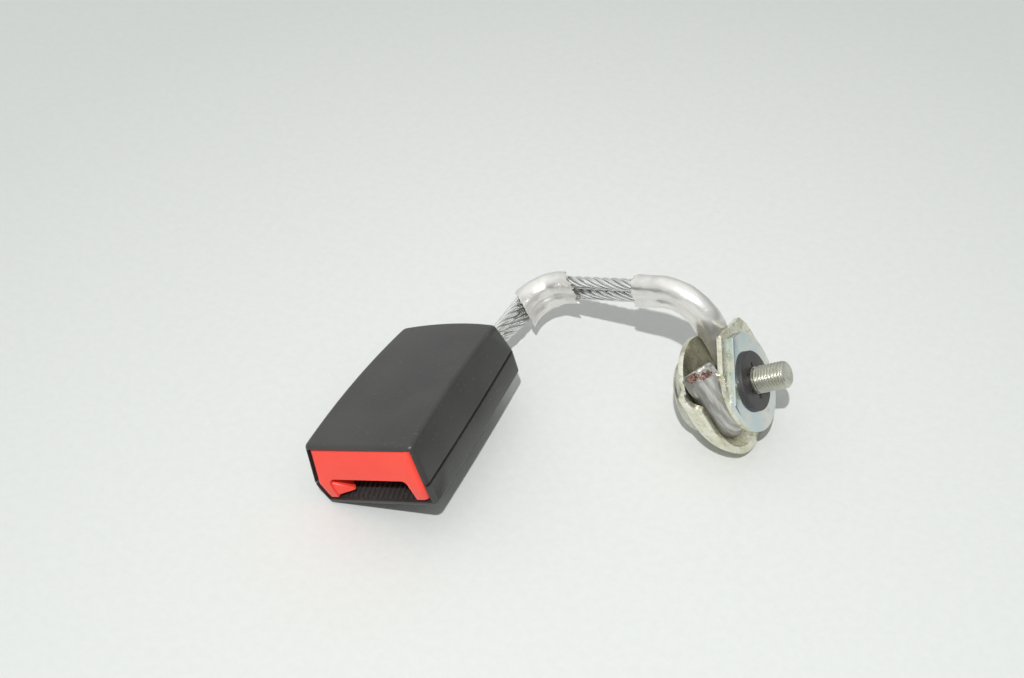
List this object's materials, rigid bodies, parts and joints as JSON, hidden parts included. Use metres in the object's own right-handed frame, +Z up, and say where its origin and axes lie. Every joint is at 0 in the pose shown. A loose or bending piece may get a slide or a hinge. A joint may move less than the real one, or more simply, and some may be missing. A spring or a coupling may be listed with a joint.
{
  "type": "seat belt buckle",
  "caption": "Seat belt buckle with a red release button, a slanted tongue slot, a sleeved double wire rope and a bolted floor anchor.",
  "frame": {"origin": "centre of the underside of the whole part, at the level of the surface it lies on", "axes": "+Y runs from the buckle's mouth back towards the anchor, +Z is up as the part lies, +X is across to the anchor bolt's tip side"},
  "size_m": [0.1478, 0.122, 0.0545],
  "materials": {
    "housing_plastic": "fine moulded grain",
    "button_plastic": "satin moulded",
    "aluminium": "swaged, soft shine",
    "rope_steel": "bright galvanised strands",
    "zinc_yellow": "yellow-green zinc plated",
    "zinc_blue": "pale blue zinc plated",
    "plain_steel": "cold rolled",
    "spring_steel": "drawn wire",
    "bolt_steel": "pale yellow zinc plated",
    "inner_plastic": "plain moulded",
    "fibre_brown": "brown fibre, satin",
    "felt": "matt"
  },
  "bodies": {
    "buckle": {"upper_cover": "housing_plastic", "lower_cover": "housing_plastic", "frame": "plain_steel", "latch_pin": "plain_steel", "spring_bridge": "plain_steel", "frame_rivets": "plain_steel", "button_springs": "spring_steel", "latch_spring": "spring_steel", "ejector_spring": "spring_steel", "slider_spring": "spring_steel", "cable_saddle": "plain_steel", "saddle_pin": "plain_steel", "rattle_pad": "felt", "wire_rope": "rope_steel", "elbow_sleeve": "aluminium", "anchor_sleeve": "aluminium", "anchor_cup": "zinc_yellow", "anchor_front_plate": "zinc_yellow", "spacer_bush": "plain_steel", "spacer_washer": "zinc_blue"},
    "button": {"press_button": "button_plastic"},
    "slider": {"lock_slider": "inner_plastic"},
    "ejector_body": {"ejector": "inner_plastic"},
    "latch_body": {"latch": "plain_steel"},
    "bolt": {"anchor_bolt": "bolt_steel", "retaining_washer": "fibre_brown"}
  },
  "joints": [
    {"name": "button_press", "type": "slide", "parent": "buckle", "child": "button", "axis": [0, 1, 0], "range_m": [0, 0.005], "stiffness_N_per_m": 1500, "springref_m": -0.002, "deforming": ["button_springs"]},
    {"name": "lock_slide", "type": "slide", "parent": "buckle", "child": "slider", "axis": [0, 1, 0], "range_m": [0, 0.005], "deforming": ["slider_spring"]},
    {"name": "ejector_slide", "type": "slide", "parent": "buckle", "child": "ejector_body", "axis": [0, 1, 0], "range_m": [0, 0.01], "stiffness_N_per_m": 800, "springref_m": -0.002, "deforming": ["ejector_spring"]},
    {"name": "latch_pivot", "type": "hinge", "parent": "buckle", "child": "latch_body", "pos_m": [-0.04715, -0.01202, 0.01918], "axis": [0.9191, 0, 0.3939], "range_deg": [0, 9.3], "deforming": ["latch_spring"]},
    {"name": "bolt_spin", "type": "hinge", "parent": "buckle", "child": "bolt", "pos_m": [0.04376, 0.03198, 0.01762], "axis": [0.8457, 0.0934, 0.5255], "continuous": true}
  ],
  "couplings": [
    {"joint": "lock_slide", "follows": "button_press", "ratio": 1},
    {"joint": "latch_pivot", "follows": "ejector_slide", "rad_per_m": 16.214}
  ]
}
